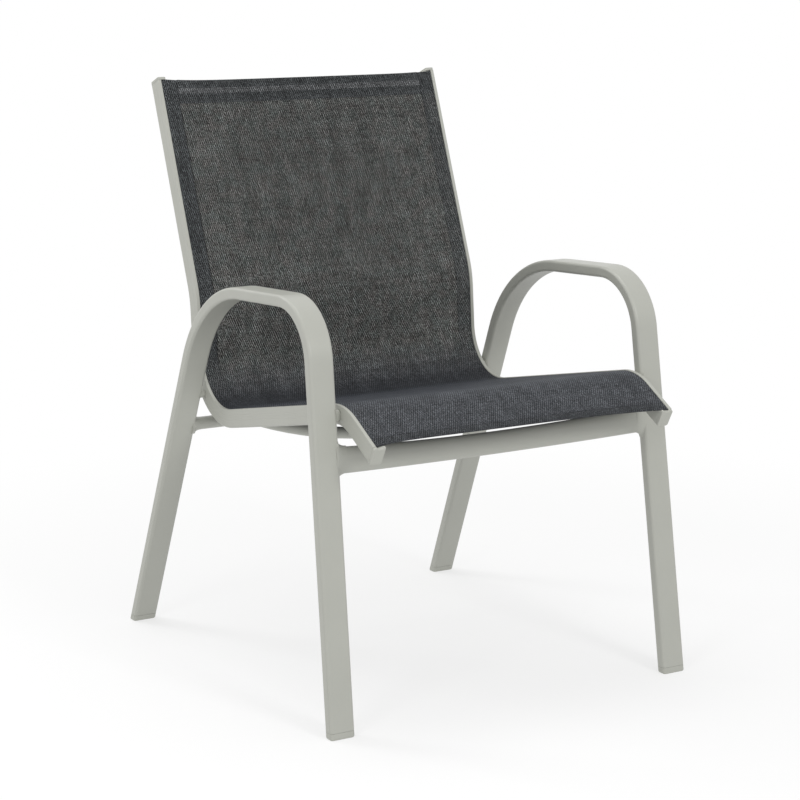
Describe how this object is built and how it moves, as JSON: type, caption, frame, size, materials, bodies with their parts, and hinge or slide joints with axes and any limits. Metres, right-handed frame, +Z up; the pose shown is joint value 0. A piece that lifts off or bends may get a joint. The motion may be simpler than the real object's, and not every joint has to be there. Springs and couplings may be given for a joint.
{
  "type": "sling patio chair",
  "caption": "Stacking patio armchair: a painted flat-tube frame with bent side loops carries one stretched sheet of dark mesh cloth as seat and back.",
  "frame": {"origin": "on the ground, under the middle of the whole chair", "axes": "+Z up; the chair faces -Y; +X to its right as seen from the front"},
  "size_m": [0.6, 0.7064, 0.8637],
  "materials": {
    "frame_paint": "satin powder coat, pale warm grey",
    "moulding": "moulded plastic, pale grey like the frame",
    "mesh_cloth": "open plain weave of coated yarn, charcoal grey",
    "rod_plastic": "extruded round rod, black"
  },
  "bodies": {
    "root": {"side_frame_left": "frame_paint", "foot_glide_front_left": "moulding", "foot_glide_rear_left": "moulding", "sling_rail_left": "frame_paint", "hem_rod_left": "rod_plastic", "rail_front_cap_left": "moulding", "rail_top_cap_left": "moulding", "weld_spacer_front_left": "frame_paint", "weld_spacer_rear_left": "frame_paint", "side_frame_right": "frame_paint", "foot_glide_front_right": "moulding", "foot_glide_rear_right": "moulding", "sling_rail_right": "frame_paint", "hem_rod_right": "rod_plastic", "rail_front_cap_right": "moulding", "rail_top_cap_right": "moulding", "weld_spacer_front_right": "frame_paint", "weld_spacer_rear_right": "frame_paint", "front_cross_rail": "frame_paint", "rear_cross_rail": "frame_paint", "seat_stretcher": "frame_paint", "sling": "mesh_cloth"}
  },
  "joints": []
}
